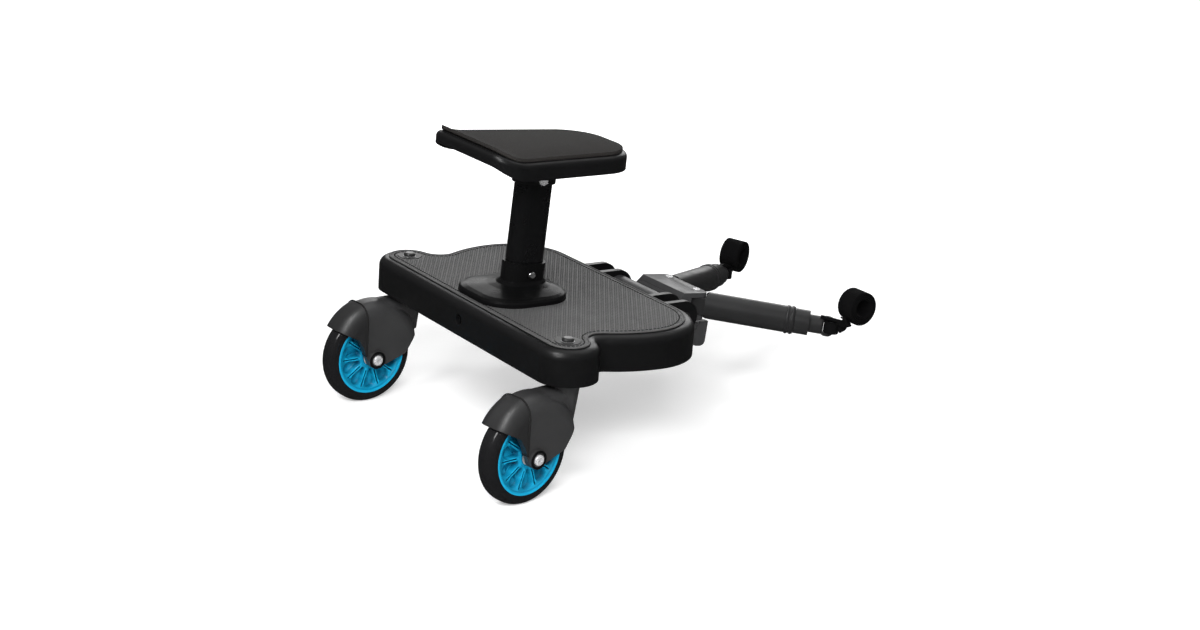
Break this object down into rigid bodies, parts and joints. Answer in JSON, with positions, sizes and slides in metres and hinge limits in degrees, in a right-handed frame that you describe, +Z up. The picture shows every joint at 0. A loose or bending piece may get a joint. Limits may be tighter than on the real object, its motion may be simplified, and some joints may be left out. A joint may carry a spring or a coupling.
{
  "type": "buggy board",
  "caption": "Ride-on board with a small seat on a post, two trailing swivel casters, and a folding front hinge with clamp arms that strap to a pushchair.",
  "frame": {"origin": "bottom centre of the whole board's box, on the floor under the wheels", "axes": "+Z up, +Y forward towards the clamp arms, +X to the board's right"},
  "size_m": [0.4464, 0.6184, 0.3812],
  "materials": {
    "deck_plastic": "satin moulded black",
    "mat_rubber": "grey anti-slip mat with a fine raised texture",
    "bush_plastic": "dark low-friction plastic",
    "bright_steel": "bright plated steel",
    "black_steel": "steel with a black finish",
    "button_chrome": "polished chrome",
    "post_paint": "grey-black satin coating",
    "seat_plastic": "satin moulded black",
    "pad_foam": "brown-black closed-cell foam",
    "fork_plastic": "smooth grey-black moulding",
    "wheel_tyre": "glossy black soft tread",
    "hub_plastic": "translucent bright blue",
    "arm_plastic": "satin grey-black",
    "knob_plastic": "satin dark grey",
    "strap_webbing": "black hook-and-loop webbing"
  },
  "bodies": {
    "deck": {"deck_shell": "deck_plastic", "deck_mat": "mat_rubber", "stem_bushes": "bush_plastic", "stem_washers": "bush_plastic", "hinge_pin": "bright_steel", "seat_base": "deck_plastic", "base_screws": "bright_steel", "seat_post": "post_paint", "button_spring": "bright_steel", "seat_shell": "seat_plastic", "seat_pad": "pad_foam", "seat_socket": "seat_plastic", "seat_screws": "bright_steel", "socket_bolt": "bright_steel"},
    "connector": {"connector_base": "deck_plastic", "connector_cover": "deck_plastic", "cover_screws": "bright_steel", "pivot_bolts": "bright_steel"},
    "seat_button": {"seat_button": "button_chrome"},
    "left_caster": {"left_fork": "fork_plastic", "left_fender": "fork_plastic", "left_stem": "bright_steel", "left_stem_bolt": "black_steel", "left_axle_bolt": "bright_steel", "left_axle_nut": "bright_steel", "left_axle_spacers": "bush_plastic"},
    "left_wheel": {"left_tyre": "wheel_tyre", "left_hub": "hub_plastic", "left_bearings": "bright_steel"},
    "left_arm": {"left_arm_tube": "arm_plastic", "left_lock_ring": "arm_plastic"},
    "left_slider": {"left_slider": "arm_plastic", "left_strap": "strap_webbing"},
    "left_knob": {"left_knob": "knob_plastic"},
    "right_caster": {"right_fork": "fork_plastic", "right_fender": "fork_plastic", "right_stem": "bright_steel", "right_stem_bolt": "black_steel", "right_axle_bolt": "bright_steel", "right_axle_nut": "bright_steel", "right_axle_spacers": "bush_plastic"},
    "right_wheel": {"right_tyre": "wheel_tyre", "right_hub": "hub_plastic", "right_bearings": "bright_steel"},
    "right_arm": {"right_arm_tube": "arm_plastic", "right_lock_ring": "arm_plastic"},
    "right_slider": {"right_slider": "arm_plastic", "right_strap": "strap_webbing"},
    "right_knob": {"right_knob": "knob_plastic"}
  },
  "joints": [
    {"name": "board_fold", "type": "hinge", "parent": "deck", "child": "connector", "pos_m": [-0.00218, 0.04274, 0.155], "axis": [1, 0, 0], "range_deg": [-20, 85]},
    {"name": "seat_button_press", "type": "slide", "parent": "deck", "child": "seat_button", "axis": [-1, 0, 0], "range_m": [0, 0.0073], "stiffness_N_per_m": 500, "springref_m": -0.004, "deforming": ["button_spring"]},
    {"name": "left_caster_swivel", "type": "hinge", "parent": "deck", "child": "left_caster", "pos_m": [-0.18518, -0.18926, 0.06], "axis": [0, 0, 1], "continuous": true},
    {"name": "left_wheel_spin", "type": "hinge", "parent": "left_caster", "child": "left_wheel", "pos_m": [-0.18099, -0.24911, 0.06], "axis": [0.9976, 0.0698, 0], "continuous": true},
    {"name": "left_arm_swing", "type": "hinge", "parent": "connector", "child": "left_arm", "pos_m": [-0.03148, 0.10638, 0.14812], "axis": [0, 0.0958, 0.9954], "range_deg": [-27, 43]},
    {"name": "left_arm_extend", "type": "slide", "parent": "left_arm", "child": "left_slider", "axis": [-0.454, 0.8869, -0.0854], "range_m": [0, 0.05]},
    {"name": "left_knob_turn", "type": "hinge", "parent": "connector", "child": "left_knob", "pos_m": [-0.03148, 0.10467, 0.13045], "axis": [0, 0.0958, 0.9954], "range_deg": [-180, 180]},
    {"name": "right_caster_swivel", "type": "hinge", "parent": "deck", "child": "right_caster", "pos_m": [0.18082, -0.18926, 0.06], "axis": [0, 0, 1], "continuous": true},
    {"name": "right_wheel_spin", "type": "hinge", "parent": "right_caster", "child": "right_wheel", "pos_m": [0.19103, -0.24838, 0.06], "axis": [0.9854, 0.1702, 0], "continuous": true},
    {"name": "right_arm_swing", "type": "hinge", "parent": "connector", "child": "right_arm", "pos_m": [0.02712, 0.10638, 0.14812], "axis": [0, 0.0958, 0.9954], "range_deg": [-29, 41]},
    {"name": "right_arm_extend", "type": "slide", "parent": "right_arm", "child": "right_slider", "axis": [0.6561, 0.7512, -0.0723], "range_m": [0, 0.05]},
    {"name": "right_knob_turn", "type": "hinge", "parent": "connector", "child": "right_knob", "pos_m": [0.02712, 0.10467, 0.13045], "axis": [0, 0.0958, 0.9954], "range_deg": [-180, 180]}
  ]
}
